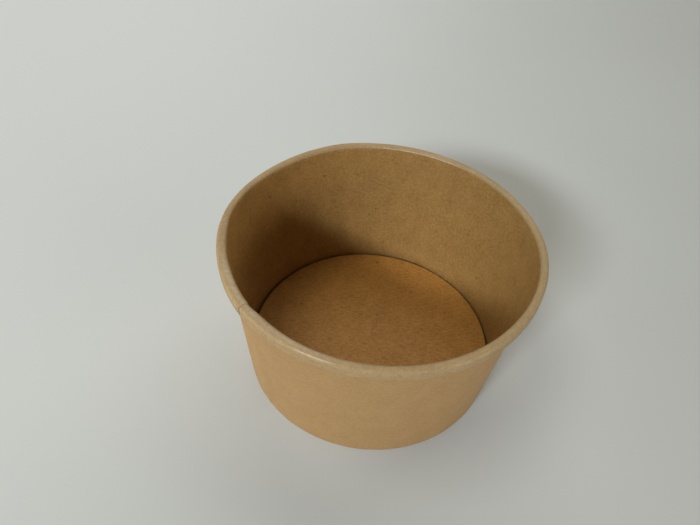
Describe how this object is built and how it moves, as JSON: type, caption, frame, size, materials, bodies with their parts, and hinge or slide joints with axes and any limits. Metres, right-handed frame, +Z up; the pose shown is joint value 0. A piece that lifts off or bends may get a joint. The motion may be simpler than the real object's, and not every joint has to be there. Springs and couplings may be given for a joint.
{
  "type": "paper salad bowl",
  "caption": "Round kraft paper salad bowl: tapered lapped side wall with a rolled rim, and a recessed base disc held in a folded foot.",
  "frame": {"origin": "centre of the standing ring, on the table", "axes": "+Z up the bowl's axis, out of its mouth; the side seam's inner edge is at azimuth 225 degrees, between -X and -Y"},
  "size_m": [0.15, 0.15, 0.08],
  "materials": {
    "wall_board": "satin",
    "base_board": "satin"
  },
  "bodies": {
    "root": {"side_wall": "wall_board", "base_disc": "base_board"}
  },
  "joints": []
}
